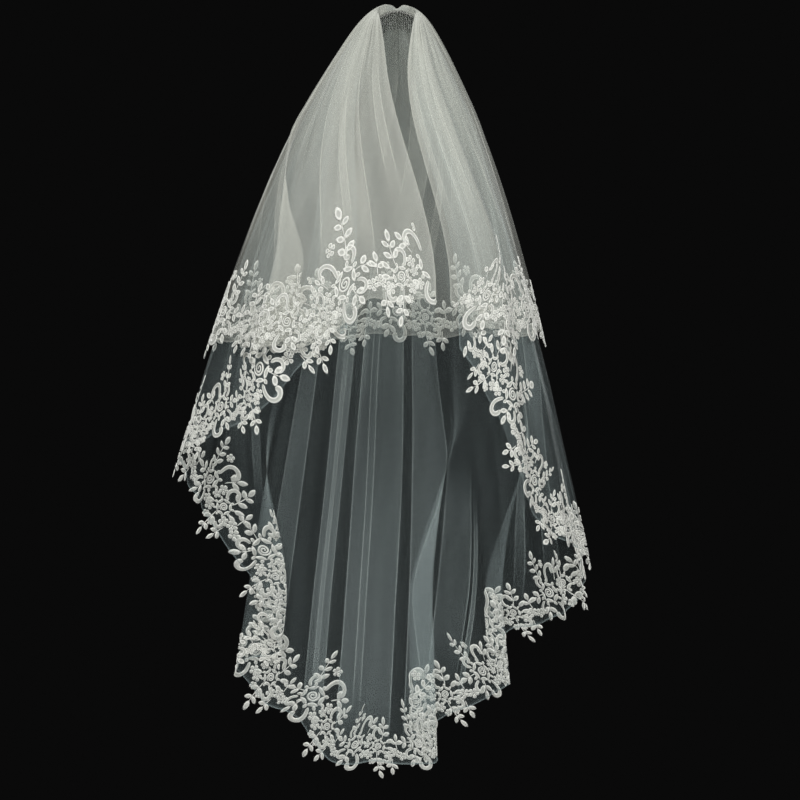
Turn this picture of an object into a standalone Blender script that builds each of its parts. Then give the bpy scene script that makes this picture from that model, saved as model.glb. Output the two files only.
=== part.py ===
"""Bridal veil of two tulle tiers gathered on a hair comb, both edged with applique lace.

Metres, +Z up, -Y to the front, +X to the wearer's left. The origin is the middle of the comb's
spine. Every point of the cloth is placed by two values: its angle round the wearer (0 at the
middle of the back, negative to -X, 180 at the front) and its drop below the veil's crest.
"""

import math

import bpy
import numpy as np

# Comb
COMB_WIDTH = 0.062          # length of the spine
COMB_RISE = 0.014           # how far the spine's ends sit below its middle
SPINE_HEIGHT = 0.003
COMB_THICKNESS = 0.0016
TOOTH_COUNT = 20
TOOTH_LENGTH = 0.031
TOOTH_TIP_SHARE = 0.5       # width of a tooth's tip, as a share of its root
TOOTH_TILT = 35.0           # degrees from upright, towards the back of the head

# Tulle and lace walls
TULLE_WALL = 0.001
LACE_WALL = 0.001
LACE_GAP = 0.0006           # from the tulle's outer face to the lace's inner face
SEWN_HEIGHT = 0.0036        # height of the gathered edges over the comb's centre line
TIER_SHIFT = 0.0045         # each tier's distance from the form that both follow
TIER_SHIFT_FADE = 0.02
CROWN_SHIFT = 0.0014        # the same distance at the crown, square to the cloth
CROWN_FADE = 0.02

# Worn form, shared by both tiers
CREST = 0.0145              # height over the comb from which the drops are measured
CROWN_HEIGHT = 0.0125       # height of the gathered crown over the comb
CREST_FADE = 0.06           # drop over which the crown's own line stops showing
CREST_NOTCH = 0.007         # dip in the crown over the middle of the comb
CREST_NOTCH_SPREAD = 0.15   # as a share of half the comb
CREST_LOBE = 0.003          # rise of the crown over one side of the comb
CREST_LOBE_PLACE = -0.6
CREST_LOBE_SPREAD = 0.25
RIGHT_WIDTH, RIGHT_DROP, RIGHT_POWER = 0.353, 0.716, 0.60
LEFT_WIDTH, LEFT_DROP, LEFT_POWER = 0.308, 0.9, 0.58
NECK, NECK_DROP = 0.115, 0.10   # share that the form is drawn in by under the crown
BACK_DEPTH, BACK_DROP, BACK_POWER = 0.120, 0.5, 0.5
FRONT_DEPTH, FRONT_DROP, FRONT_POWER = 0.170, 0.5, 0.62
FRONT_GROWTH = 0.05         # what the front gains below the bust
FRONT_GROWTH_FADE = 0.3
COMB_FADE = 0.13            # drop over which the comb's own width stops showing
PARTING_SHIFT = 0.073       # how far the front opening swings to the wearer's left
PARTING_START = 0.10
PARTING_REACH = 0.38        # drop over which it swings
EDGE_ANGLE = 178.6          # angle of the front edges of a tier that closes all round

# Soft folds that run down both tiers: (how many in a full turn, share, phase in degrees)
FLUTES = ((14, 0.50, 20.0), (9, 0.32, 75.0), (23, 0.18, 140.0))
FLUTE_AT_COMB = 0.0008
FLUTE_DEPTH = 0.0100
FLUTE_FADE = 0.50
# Narrower folds of the lower tier, below the upper tier's hem
NARROW_COUNT = 31
NARROW_DEPTH = 0.0040
NARROW_START = 0.60
NARROW_REACH = 0.3          # drop over which they grow to their full depth

# Hem stations of the upper tier: (angle, layer offset in mm, drop of the hem)
# Offsets over 0 stand outwards; angles that turn back make the three layers of a pleat.
UPPER_STATIONS = (
    (-178.6, 0.0, 0.495),
    (-171.0, 0.0, 0.503),
    (-165.0, 0.0, 0.508),
    (-158.0, 0.0, 0.500),
    (-154.0, 2.0, 0.522),
    (-148.0, 6.0, 0.562),
    (-141.0, 14.0, 0.580),
    (-133.0, 20.0, 0.574),
    (-129.0, 20.0, 0.571),
    (-127.4, 18.0, 0.570),
    (-127.4, 12.0, 0.568),
    (-129.0, 10.0, 0.566),
    (-136.0, 10.0, 0.562),
    (-137.6, 8.0, 0.561),
    (-137.6, 2.0, 0.560),
    (-136.0, 0.0, 0.559),
    (-125.0, 0.0, 0.558),
    (-111.0, 0.0, 0.560),
    (-99.0, 0.0, 0.560),
    (-70.0, 0.0, 0.556),
    (0.0, 0.0, 0.548),
    (90.0, 0.0, 0.545),
    (114.0, 0.0, 0.547),
    (145.0, 0.0, 0.558),
    (155.0, 0.0, 0.553),
    (166.0, 0.0, 0.543),
    (172.0, 0.0, 0.530),
    (178.0, 0.0, 0.498),
)
# Hem stations of the lower tier, with the same columns
LOWER_STATIONS = (
    (-153.0, 0.0, 0.545),
    (-142.0, 0.0, 0.608),
    (-134.0, 0.0, 0.690),
    (-119.0, 0.0, 0.716),
    (-93.0, 0.0, 0.734),
    (-70.0, 0.0, 0.768),
    (-50.0, -4.0, 0.858),
    (-37.0, -9.0, 0.951),
    (-27.0, -10.0, 1.080),
    (-25.8, -8.0, 1.088),
    (-25.8, -2.0, 1.092),
    (-27.0, 0.0, 1.097),
    (-36.2, 0.0, 1.112),
    (-37.6, 2.0, 1.116),
    (-37.6, 8.0, 1.120),
    (-36.2, 10.0, 1.124),
    (-29.0, 9.0, 1.178),
    (-20.0, 5.0, 1.220),
    (-14.0, 0.0, 1.285),
    (-8.0, -3.0, 1.295),
    (2.0, -8.0, 1.291),
    (10.0, -10.0, 1.288),
    (11.6, -8.0, 1.284),
    (11.6, -2.0, 1.280),
    (10.0, 0.0, 1.276),
    (4.5, 0.0, 1.256),
    (2.9, 2.0, 1.251),
    (2.9, 8.0, 1.247),
    (4.5, 10.0, 1.242),
    (11.0, 9.0, 1.215),
    (17.0, 5.0, 1.193),
    (26.0, -6.0, 1.180),
    (33.0, -10.0, 1.147),
    (34.6, -8.0, 1.140),
    (34.6, -2.0, 1.136),
    (33.0, 0.0, 1.130),
    (28.0, 0.0, 1.106),
    (26.4, 2.0, 1.100),
    (26.4, 8.0, 1.096),
    (28.0, 10.0, 1.090),
    (34.0, 9.0, 1.060),
    (46.0, 5.0, 1.037),
    (64.0, 0.0, 1.013),
    (76.0, 0.0, 0.968),
    (90.0, 0.0, 0.918),
    (108.0, 0.0, 0.896),
    (135.0, 0.0, 0.866),
    (144.0, 0.0, 0.836),
    (147.0, 0.0, 0.793),
    (149.5, 0.0, 0.748),
    (152.0, 0.0, 0.698),
    (158.5, 0.0, 0.655),
    (166.0, 0.0, 0.598),
    (174.5, 0.0, 0.571),
)
# Drops over which a tier's pleats open out from flat to full
UPPER_PLEATS = (0.10, 0.45)
LOWER_PLEATS = (0.50, 1.02)

# Grid of the walls
COLUMN_PITCH = 0.0205
TOP_DROPS = (0.002, 0.011, 0.034, 0.085, 0.155, 0.220, 0.280, 0.345)
UPPER_ROWS = 0              # rows between the last top drop and the lace
LOWER_ROWS = 4
LACE_ROWS = 3

# Lace: one rose spray and the sprigs beside it make a repeat
LACE_REPEAT = 0.135
LACE_HEIGHT = 0.108
LACE_HEIGHT_SWING = 0.032
SPRIG_HANG = 0.026
SPRIG_PHASE = 1.9           # radians from the top of the spray to the sprig
STEEPEST_RUN = 0.84         # least level run, per length of hem, that the band follows
RUN_SMOOTHING = 11          # columns over which the level run is averaged
OPENING_MIN_WIDTH = 0.012   # a narrower cell of the lace stays closed

SHARP_ANGLE = 50.0          # degrees between faces from which an edge stays crisp


def smooth_step(value):
    """Rise from 0 to 1 with level ends."""
    held = np.clip(value, 0.0, 1.0)
    return held * held * (3.0 - 2.0 * held)


def comb_share(angle):
    """Place along the comb, -1 to 1, of the cloth that falls at an angle."""
    return angle / EDGE_ANGLE


def half_width(angle, drop):
    """Half of the worn form's width: a power of the drop on each side, drawn in at the neck."""
    right = RIGHT_WIDTH * (drop / RIGHT_DROP) ** RIGHT_POWER
    left = LEFT_WIDTH * (drop / LEFT_DROP) ** LEFT_POWER
    neck = 1.0 - NECK * np.exp(-(drop / NECK_DROP) ** 2)
    return np.where(angle < 0.0, right, left) * neck


def half_depth(angle, drop):
    """Half of the worn form's depth, behind and in front of the comb."""
    back = BACK_DEPTH * (drop / BACK_DROP) ** BACK_POWER
    upper = FRONT_DEPTH * (drop / FRONT_DROP) ** FRONT_POWER
    below = np.maximum(drop - FRONT_DROP, 0.0)
    lower = FRONT_DEPTH + FRONT_GROWTH * (1.0 - np.exp(-below / FRONT_GROWTH_FADE))
    front = np.where(drop < FRONT_DROP, upper, lower)
    return np.where(np.abs(angle) > 90.0, front, back)


def flute(angle, drop):
    """Soft folds: a sum of cosines whose depth grows with the drop."""
    total = 0.0
    for count, share, phase in FLUTES:
        total = total + share * np.cos(np.radians(count * angle + phase))
    depth = FLUTE_AT_COMB + FLUTE_DEPTH * (1.0 - np.exp(-drop / FLUTE_FADE))
    return depth * total


def crest_height(share):
    """Height of the gathered crown along the comb: an arch with a dip and a low lobe."""
    lobe = CREST_LOBE * np.exp(-((share - CREST_LOBE_PLACE) / CREST_LOBE_SPREAD) ** 2)
    dip = CREST_NOTCH * np.exp(-(share / CREST_NOTCH_SPREAD) ** 2)
    return CROWN_HEIGHT - COMB_RISE * share ** 2 + lobe - dip


def worn_point(angle, flat_angle, drop, offset):
    """Point of a tier: an oval ring that widens with the drop, moved off along its normal.

    flat_angle says from which place on the comb the cloth comes.
    """
    turn = np.radians(angle)
    width = half_width(angle, drop)
    depth = half_depth(angle, drop)
    share = comb_share(flat_angle)
    fade = np.exp(-drop / COMB_FADE)
    normal_x = depth * np.sin(turn)
    normal_y = width * np.cos(turn)
    length = np.hypot(normal_x, normal_y)
    away = offset + flute(angle, drop)
    swung = smooth_step((drop - PARTING_START) / PARTING_REACH)
    front = np.clip(-np.cos(turn), 0.0, 1.0) ** 2
    x = width * np.sin(turn) + 0.5 * COMB_WIDTH * share * fade + PARTING_SHIFT * swung * front
    y = depth * np.cos(turn)
    z = CREST - drop + (crest_height(share) - CREST) * np.exp(-drop / CREST_FADE)
    return np.stack([x + away * normal_x / length, y + away * normal_y / length, z], axis=-1)


def sewn_point(flat_angle):
    """Point of a tier's gathered edge, which runs along the top of the comb's spine."""
    share = comb_share(flat_angle)
    height = SEWN_HEIGHT - COMB_RISE * share ** 2
    return np.stack([0.5 * COMB_WIDTH * share, 0.0 * share, height], axis=-1)


def hem_columns(stations):
    """Spread columns between the hem stations and give each one its place on the cloth.

    Returns angle, offset, hem drop, flat angle, length along the hem and level run of the hem.
    """
    table = np.array(stations)
    rows = [table[:1]]
    for start, end in zip(table[:-1], table[1:]):
        ends = np.stack([start, end])
        points = worn_point(ends[:, 0], ends[:, 0], ends[:, 2], ends[:, 1] / 1000.0)
        count = max(1, round(float(np.linalg.norm(points[1] - points[0])) / COLUMN_PITCH))
        share = np.arange(1, count + 1)[:, None] / count
        rows.append(start + (end - start) * share)
    angle, offset, hem = np.concatenate(rows).T
    offset = offset / 1000.0
    points = worn_point(angle, angle, hem, offset)
    steps = np.diff(points, axis=0)
    length = np.concatenate([[0.0], np.cumsum(np.linalg.norm(steps, axis=1))])
    across = np.concatenate([[0.0], np.cumsum(np.linalg.norm(steps[:, :2], axis=1))])
    flat = angle[0] + (angle[-1] - angle[0]) * across / across[-1]
    return angle, offset, hem, flat, length, across


def lace_edges(length, across):
    """Height of the lace's upper edge over the hem, and the drop of its sprigs below it.

    The band keeps its width square to the hem, so it stands higher where the hem is steep.
    """
    phase = 2.0 * math.pi * length / LACE_REPEAT
    run = np.pad(np.gradient(across) / np.gradient(length), RUN_SMOOTHING // 2, mode="edge")
    run = np.convolve(run, np.full(RUN_SMOOTHING, 1.0 / RUN_SMOOTHING), mode="valid")
    height = LACE_HEIGHT + LACE_HEIGHT_SWING * np.cos(phase)
    hang = SPRIG_HANG * np.clip(np.cos(phase - SPRIG_PHASE), 0.0, 1.0) ** 2
    return height / np.clip(run, STEEPEST_RUN, 1.0), hang


def grid_normals(points):
    """Unit normals of a grid of points, pointing away from the wearer."""
    down = np.gradient(points, axis=0)
    across = np.gradient(points, axis=1)
    normals = np.cross(across, down)
    return normals / np.linalg.norm(normals, axis=2, keepdims=True)


def tier_middle(columns, pleats, side, plain_rows, narrow):
    """Rows of points down the middle of a tulle wall, from the comb to the hem.

    side is 1 for the tier that lies outside the shared form and -1 for the one inside it.
    """
    angle, offset, hem, flat, length, across = columns
    height, hang = lace_edges(length, across)
    lace_top = hem - height
    last_top = TOP_DROPS[-1]
    drops = [np.full_like(hem, drop) for drop in TOP_DROPS]
    for row in range(1, plain_rows + 1):
        drops.append(last_top + (lace_top - last_top) * row / (plain_rows + 1))
    for row in range(LACE_ROWS + 1):
        drops.append(lace_top + (height + hang) * row / LACE_ROWS)
    rows = [sewn_point(flat)]
    for drop in drops:
        open_share = smooth_step((drop - pleats[0]) / (pleats[1] - pleats[0]))
        spread = flat + (angle - flat) * open_share
        tier = side * TIER_SHIFT * (1.0 - np.exp(-drop / TIER_SHIFT_FADE))
        away = offset * open_share + tier
        if narrow:
            reach = smooth_step((drop - NARROW_START) / NARROW_REACH)
            away = away + NARROW_DEPTH * reach * np.cos(np.radians(NARROW_COUNT * spread))
        rows.append(worn_point(spread, flat, drop, away))
    middle = np.array(rows)
    crown = np.exp(-np.array([0.0 * hem] + drops) / CROWN_FADE)
    return middle + side * CROWN_SHIFT * crown[..., None] * grid_normals(middle)


def wall_mesh(name, outer, inner, kept):
    """Closed wall between two grids of points, with edge faces round every kept area."""
    rows, columns = outer.shape[:2]
    size = rows * columns
    points = np.concatenate([outer.reshape(-1, 3), inner.reshape(-1, 3)])
    faces = []
    sides = {}
    for row in range(rows - 1):
        for column in range(columns - 1):
            if not kept[row, column]:
                continue
            a = row * columns + column
            quad = (a, a + 1, a + columns + 1, a + columns)
            for half in (quad[:3], quad[2:] + quad[:1]):
                faces.append(half)
                faces.append(tuple(size + corner for corner in reversed(half)))
            for start, end in zip(quad, quad[1:] + quad[:1]):
                if (end, start) in sides:
                    del sides[(end, start)]
                else:
                    sides[(start, end)] = (end, start, size + start, size + end)
    faces.extend(sides.values())
    used = sorted({corner for face in faces for corner in face})
    place = {corner: index for index, corner in enumerate(used)}
    mesh = bpy.data.meshes.new(name)
    mesh.from_pydata(points[used].tolist(), [], [[place[c] for c in face] for face in faces])
    mesh.validate()
    mesh.update()
    return mesh


def add_piece(name, mesh, material, smooth):
    """Put a mesh into the scene as one named piece."""
    mesh.materials.append(material)
    if smooth:
        mesh.shade_smooth()
        mesh.set_sharp_from_angle(angle=math.radians(SHARP_ANGLE))
    piece = bpy.data.objects.new(name, mesh)
    bpy.context.scene.collection.objects.link(piece)
    return piece


def make_material(name, colour, roughness, metallic):
    """Principled material of one plain finish."""
    material = bpy.data.materials.new(name)
    material.use_nodes = True
    shader = material.node_tree.nodes["Principled BSDF"]
    shader.inputs["Base Color"].default_value = (*colour, 1.0)
    shader.inputs["Roughness"].default_value = roughness
    shader.inputs["Metallic"].default_value = metallic
    return material


def build_comb(material):
    """Flat comb bent along an arch: a spine and tapered teeth, all of one plate."""
    cells = 2 * TOOTH_COUNT - 1
    pitch = COMB_WIDTH / cells
    along = (np.arange(cells + 1) - 0.5 * cells) * pitch
    tooth = np.arange(cells) % 2 == 0
    narrowing = 0.5 * (1.0 - TOOTH_TIP_SHARE) * pitch
    inward = np.where(np.arange(cells + 1) % 2 == 0, narrowing, -narrowing)
    half_spine = 0.5 * SPINE_HEIGHT
    reaches = (-half_spine, half_spine, half_spine + TOOTH_LENGTH)
    taper = (0.0, 0.0, 1.0)
    tilt = math.radians(TOOTH_TILT)
    tooth_way = np.array([0.0, math.sin(tilt), -math.cos(tilt)])
    face_way = np.array([0.0, math.cos(tilt), math.sin(tilt)])
    rows = []
    for reach, narrow in zip(reaches, taper):
        x = along + narrow * inward
        share = x / (0.5 * COMB_WIDTH)
        base = np.stack([x, 0.0 * x, -COMB_RISE * share ** 2], axis=1)
        rows.append(base + reach * tooth_way)
    middle = np.array(rows)
    kept = np.stack([np.ones(cells, dtype=bool), tooth])
    half = 0.5 * COMB_THICKNESS * face_way
    mesh = wall_mesh("comb", middle + half, middle - half, kept)
    return add_piece("comb", mesh, material, smooth=False)


def build_tier(name, middle, material):
    """Tulle wall of even thickness on a tier's middle points."""
    reach = 0.5 * TULLE_WALL * grid_normals(middle)
    kept = np.ones((middle.shape[0] - 1, middle.shape[1] - 1), dtype=bool)
    mesh = wall_mesh(name, middle + reach, middle - reach, kept)
    return add_piece(name, mesh, material, smooth=True)


def lace_openings(length):
    """Which cells of the lace are kept: every other wide column has an opening.

    The openings change between the band's middle row and the hem, where they part the sprigs.
    """
    widths = np.diff(length)
    kept = np.ones((LACE_ROWS, len(widths)), dtype=bool)
    opened = -1
    turn = 0
    for column in range(1, len(widths) - 1):
        if column - opened < 2 or widths[column] < OPENING_MIN_WIDTH:
            continue
        kept[1 + turn % 2, column] = False
        opened = column
        turn += 1
    return kept


def build_lace(name, middle, length, material):
    """Lace band on the lowest rows of a tier, made from the tulle's points and moved out."""
    points = middle[-LACE_ROWS - 1:]
    ways = grid_normals(middle)[-LACE_ROWS - 1:]
    inner_reach = 0.5 * TULLE_WALL + LACE_GAP
    outer = points + (inner_reach + LACE_WALL) * ways
    inner = points + inner_reach * ways
    mesh = wall_mesh(name, outer, inner, lace_openings(length))
    return add_piece(name, mesh, material, smooth=True)


def build_veil():
    """Comb, two tulle tiers and the lace along each hem."""
    tulle = make_material("tulle", (0.80, 0.81, 0.79), 0.75, 0.0)
    lace = make_material("lace", (0.90, 0.89, 0.84), 0.6, 0.0)
    metal = make_material("comb_metal", (0.45, 0.46, 0.46), 0.35, 1.0)
    build_comb(metal)
    upper = hem_columns(UPPER_STATIONS)
    upper_middle = tier_middle(upper, UPPER_PLEATS, 1.0, UPPER_ROWS, narrow=False)
    build_tier("upper_tier", upper_middle, tulle)
    build_lace("upper_lace", upper_middle, upper[4], lace)
    lower = hem_columns(LOWER_STATIONS)
    lower_middle = tier_middle(lower, LOWER_PLEATS, -1.0, LOWER_ROWS, narrow=True)
    build_tier("lower_tier", lower_middle, tulle)
    build_lace("lower_lace", lower_middle, lower[4], lace)


def main():
    for item in list(bpy.data.objects):
        bpy.data.objects.remove(item, do_unlink=True)
    build_veil()


main()
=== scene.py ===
"""Looks of a bridal veil: two tiers of sheer tulle on a hair comb, edged with corded lace.

The file is laid out as an add-on and is run as a script. The frame is loaded first, then each
operator makes its pieces round it. Lengths are metres unless a comment says otherwise. The cloth
is a function of two sizes: the length along a tier's hem and the drop below the veil's crest.
"""

import math

import bpy
import numpy as np
from bpy.props import FloatProperty, FloatVectorProperty, IntProperty, PointerProperty
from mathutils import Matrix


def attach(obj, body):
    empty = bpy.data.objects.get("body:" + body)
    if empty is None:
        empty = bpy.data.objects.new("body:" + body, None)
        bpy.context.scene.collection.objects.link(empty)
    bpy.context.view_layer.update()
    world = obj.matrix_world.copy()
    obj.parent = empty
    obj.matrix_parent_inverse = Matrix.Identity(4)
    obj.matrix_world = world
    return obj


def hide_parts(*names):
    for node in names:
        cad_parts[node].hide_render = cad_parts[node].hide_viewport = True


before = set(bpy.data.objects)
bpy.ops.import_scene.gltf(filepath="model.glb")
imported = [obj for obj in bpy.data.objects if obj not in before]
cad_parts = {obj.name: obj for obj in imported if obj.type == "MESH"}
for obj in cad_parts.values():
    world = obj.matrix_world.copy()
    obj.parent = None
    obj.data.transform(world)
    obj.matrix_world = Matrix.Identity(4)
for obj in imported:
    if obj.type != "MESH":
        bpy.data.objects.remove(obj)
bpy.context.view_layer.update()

bl_info = {
    "name": "Bridal Veil",
    "version": (1, 0, 0),
    "blender": (4, 5, 0),
    "location": "View3D > Sidebar > Veil",
    "description": "Two-tier tulle veil with corded lace edging on a hair comb",
    "category": "Add Mesh",
}

BODY = "root"
MM = 0.001
ACROSS = np.array([1.0, 0.0, 0.0])
UP = np.array([0.0, 0.0, 1.0])
FLAT_MAP = "flat_cloth"  # UV map of each vertex's place on the flat cloth

# ---- worn form of the cloth
COMB_WIDTH, COMB_RISE = 0.062, 0.014
SEWN_HEIGHT = 0.0036  # of the gathered edge over the comb's middle line
TIER_SHIFT = 0.0045  # each tier's distance from the form that both follow
TIER_SHIFT_FADE = 0.02
# How far the tiers also part at the crest, and the drops over which that fades, out and up
CROWN_SHIFT, CROWN_FADE, CROWN_LIFT_FADE = 0.0014, 0.02, 0.004

CREST = 0.0145  # height over the comb from which the drops are measured
CROWN_HEIGHT = 0.0125
CREST_FADE = 0.06
CREST_NOTCH, CREST_NOTCH_SPREAD = 0.007, 0.15
CREST_LOBE, CREST_LOBE_PLACE, CREST_LOBE_SPREAD = 0.003, -0.6, 0.25
# The wearer's right and left: (half width, drop where it is reached, power, share that the neck
# draws it in, drop where that ends)
SIDE_WIDTHS = ((0.353, 0.716, 0.60, 0.15, 0.15), (0.308, 0.9, 0.58, 0.13, 0.13))
BACK_DEPTH, BACK_DROP, BACK_POWER = 0.120, 0.5, 0.5
FRONT_DEPTH, FRONT_DROP, FRONT_POWER = 0.170, 0.5, 0.62
FRONT_GROWTH, FRONT_GROWTH_FADE = 0.05, 0.3
COMB_FADE = 0.13  # drop over which the comb's width goes out of the form
PARTING_SHIFT, PARTING_START, PARTING_REACH = 0.073, 0.10, 0.38
EDGE_ANGLE = 178.6  # angle that lies at the end of the comb

# Folds of the whole form: (how many in a full turn, share, start in degrees)
FLUTES = ((14, 0.50, 20.0), (9, 0.32, 75.0), (23, 0.18, 140.0))
FLUTE_AT_COMB, FLUTE_DEPTH, FLUTE_FADE = 0.0008, 0.0100, 0.50
# Narrow folds of the lower tier: how many in a full turn, depth, drop where they start, reach
NARROW_COUNT, NARROW_DEPTH, NARROW_START, NARROW_REACH = 31, 0.0040, 0.60, 0.3

# Fine gathers that run out of the comb: (how many in a full turn, depth, reach down)
GATHERS = ((31, 0.0019, 0.150), (47, 0.0010, 0.085))
GATHER_START = 0.060  # drop over which the gathers reach their full depth
GATHER_FIRST = 0.12  # share of their depth at the comb
GATHER_SINK = 0.6  # share of a gather's depth that it lies inside the form

# Hem stations: (angle, layer offset and drop of the hem in mm), as on the solids
UPPER_STATIONS = (
    (-178.6, 0, 495), (-171, 0, 503), (-165, 0, 508), (-158, 0, 500), (-154, 2, 522),
    (-148, 6, 562), (-141, 14, 580), (-133, 20, 574), (-129, 20, 571), (-127.4, 18, 570),
    (-127.4, 12, 568), (-129, 10, 566), (-136, 10, 562), (-137.6, 8, 561), (-137.6, 2, 560),
    (-136, 0, 559), (-125, 0, 558), (-111, 0, 560), (-99, 0, 560), (-70, 0, 556), (0, 0, 548),
    (90, 0, 545), (114, 0, 547), (145, 0, 558), (155, 0, 553), (166, 0, 543), (172, 0, 530),
    (178, 0, 498),
)
LOWER_STATIONS = (
    (-153, 0, 545), (-142, 0, 608), (-134, 0, 690), (-119, 0, 716), (-93, 0, 734), (-70, 0, 768),
    (-50, -4, 858), (-37, -9, 951), (-27, -10, 1080), (-25.8, -8, 1088), (-25.8, -2, 1092),
    (-27, 0, 1097), (-36.2, 0, 1112), (-37.6, 2, 1116), (-37.6, 8, 1120), (-36.2, 10, 1124),
    (-29, 9, 1178), (-20, 5, 1220), (-14, 0, 1285), (-8, -3, 1295), (2, -8, 1291),
    (10, -10, 1288), (11.6, -8, 1284), (11.6, -2, 1280), (10, 0, 1276), (4.5, 0, 1256),
    (2.9, 2, 1251), (2.9, 8, 1247), (4.5, 10, 1242), (11, 9, 1215), (17, 5, 1193), (26, -6, 1180),
    (33, -10, 1147), (34.6, -8, 1140), (34.6, -2, 1136), (33, 0, 1130), (28, 0, 1106),
    (26.4, 2, 1100), (26.4, 8, 1096), (28, 10, 1090), (34, 9, 1060), (46, 5, 1037), (64, 0, 1013),
    (76, 0, 968), (90, 0, 918), (108, 0, 896), (135, 0, 866), (144, 0, 836), (147, 0, 793),
    (149.5, 0, 748), (152, 0, 698), (158.5, 0, 655), (166, 0, 598), (174.5, 0, 571),
)
# Drops between which the pleats of each tier open
UPPER_PLEATS = (0.10, 0.45)
LOWER_PLEATS = (0.50, 1.02)

# Soft creases: (angle, first drop, last drop and depth in mm, half width in degrees)
UPPER_CREASES = (
    (-168, 60, 420, 2.2, 1.6), (-161, 100, 500, -1.8, 2), (-155.5, 40, 340, 2.4, 1.4),
    (-146, 120, 480, 2, 1.7), (-118, 150, 560, 1.8, 2.2), (-104, 100, 400, 1.6, 1.8),
    (-78, 120, 520, 2.2, 2.4), (-52, 80, 400, 1.9, 1.9), (-31, 150, 540, 2.3, 2.3),
    (-9, 60, 450, 2.1, 1.8), (15, 120, 540, 1.8, 2.4), (38, 80, 360, 2, 1.7),
    (61, 140, 520, 2.3, 2.2), (86, 80, 460, 1.7, 1.9), (112, 160, 550, 2.1, 2.1),
    (131, 60, 400, 1.9, 1.6), (148, 100, 530, 2.2, 1.8), (159, 50, 380, 2.3, 1.5),
    (169, 120, 500, 1.9, 1.7),
)
LOWER_CREASES = (
    (-112, 200, 660, 1.9, 2), (-88, 300, 720, 2.2, 1.7), (-66, 360, 800, 2, 1.9),
    (-44, 500, 950, 2.6, 1.3), (-31, 550, 1100, 3, 1), (-21.5, 480, 1200, 3.4, 0.9),
    (-17, 600, 1240, 3, 0.8), (-12.5, 720, 1280, 2.6, 1), (-6.5, 550, 1260, 2.4, 1.1),
    (-1.5, 800, 1290, 2.2, 0.8), (7.6, 620, 1260, 3.2, 0.9), (17.8, 580, 1160, 3, 0.9),
    (22.5, 750, 1150, 2.2, 1.2), (40, 520, 1020, 2.6, 1.3), (56, 400, 980, 2.1, 1.8),
    (72, 460, 940, 2.4, 1.5), (97, 360, 880, 2, 2), (121, 300, 840, 2.3, 1.8),
)
CREASE_END = 0.10  # drop over which a crease starts and ends

# Laps, where the net lies over itself: (from and to along the hem, first drop and last drop
# in mm, layers of net)
UPPER_LAPS = (
    (34, 56, 50, 360, 1.45), (100, 222, 20, 490, 1.4), (146, 168, 80, 420, 1.35),
    (262, 285, 40, 330, 1.4), (398, 412, 60, 500, 1.6), (455, 500, 30, 440, 1.35),
    (560, 655, 50, 500, 1.4), (612, 630, 110, 460, 1.4), (718, 802, 30, 450, 1.35),
    (862, 931, 60, 520, 1.4), (962, 975, 90, 480, 1.5), (1003, 1064, 20, 420, 1.35),
    (1122, 1134, 50, 500, 1.6), (1205, 1228, 80, 470, 1.4), (1296, 1352, 30, 450, 1.4),
    (1398, 1458, 20, 500, 1.35), (1424, 1438, 100, 400, 1.3), (1488, 1503, 70, 410, 1.45),
)
LOWER_LAPS = (
    (108, 131, 160, 600, 2), (246, 302, 220, 660, 1.8), (420, 470, 250, 700, 2.2),
    (545, 558, 300, 740, 2.6), (622, 668, 280, 780, 2), (742, 781, 340, 860, 2.1),
    (994, 1046, 360, 1040, 2.3), (1100, 1151, 400, 1240, 3.2), (1118, 1130, 520, 1200, 2.6),
    (1187, 1283, 340, 1280, 2.7), (1214, 1227, 460, 1220, 1.6), (1309, 1394, 360, 1280, 2.3),
    (1462, 1528, 740, 1160, 2.1), (1536, 1544, 800, 1200, 3), (1772, 1796, 300, 1020, 2.1),
    (1846, 1902, 340, 980, 1.9), (1958, 1972, 280, 940, 2.4), (2096, 2152, 240, 880, 2.1),
    (2258, 2296, 200, 820, 1.9), (2372, 2384, 170, 720, 2.4), (2428, 2456, 150, 600, 1.8),
)
LAP_END = 0.12  # drop over which a lap starts and ends
FOLD_HALF = 0.0005  # half width of the line along a folded edge
UPPER_LINE, LOWER_LINE = 1.4, 6.0  # extra layers of net along a folded edge
COLUMN_DRIFT = 0.006  # how far the laps wander sideways, as a length of hem
STRAIGHTENING = 0.06  # length of hem over which the folds' straight course is averaged
RIGHT_THINNING, LEFT_THINNING = 0.68, 0.55  # the net lies flatter at the wearer's sides
# Painted shade: less cover on the net behind the head near the crest, so the back net shows darker
# where the front layers shade it; and the drop over which that fades
BACK_PAINTED_SHADE, BACK_PAINTED_SHADE_FADE = 0.22, 0.14
FRONT_THICKENING = 0.20  # and fuller towards the front edges
CRUMPLE_DEPTH, CRUMPLE_REACH = 0.0012, 0.2  # small unevenness, and its full depth's drop
# Its waves: (share, turns round, slant and start of one cosine, waves down and start of the other)
CRUMPLES = (
    (0.5, 17, 9, 0, 21, 1.3), (0.35, 41, -13, 0, 34, 0.4), (0.25, 29, 31, 2, 0, 0),
)

# ---- grid of the cloth
HEM_PITCH = 0.004  # spacing of the columns that the hem's line is worked out on
HEM_ROUNDING = 0.010  # length of hem over which its turns are rounded
RISE_ROWS = 4  # rows from the comb up to the crest
NORMAL_STEP = 0.002  # step each way from which the cloth's normal is worked out
FIRST_DROP = 0.0004  # of the row at the crest
ROW_POWER = 1.55  # crowds the rows towards the crest
SHEET_THICKNESS = 0.0004
# How far the net bulges between comb and crest, and how far down the way out is taken
RISE_BULGE, BULGE_DROP = 0.0008, 0.004
WANDERS = ((1, 7, 0, 1), (0.4, 17, -8, 0))  # (share, radians a metre, from crest to hem, start)
HEM_TRIM = 0.004  # how far the net is cut back from the hem's line
HEM_WAVES = ((0.0032, 37.0, 0.4), (0.0022, 71.0, 2.1))  # (depth, turns in radians a metre, start)

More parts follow.
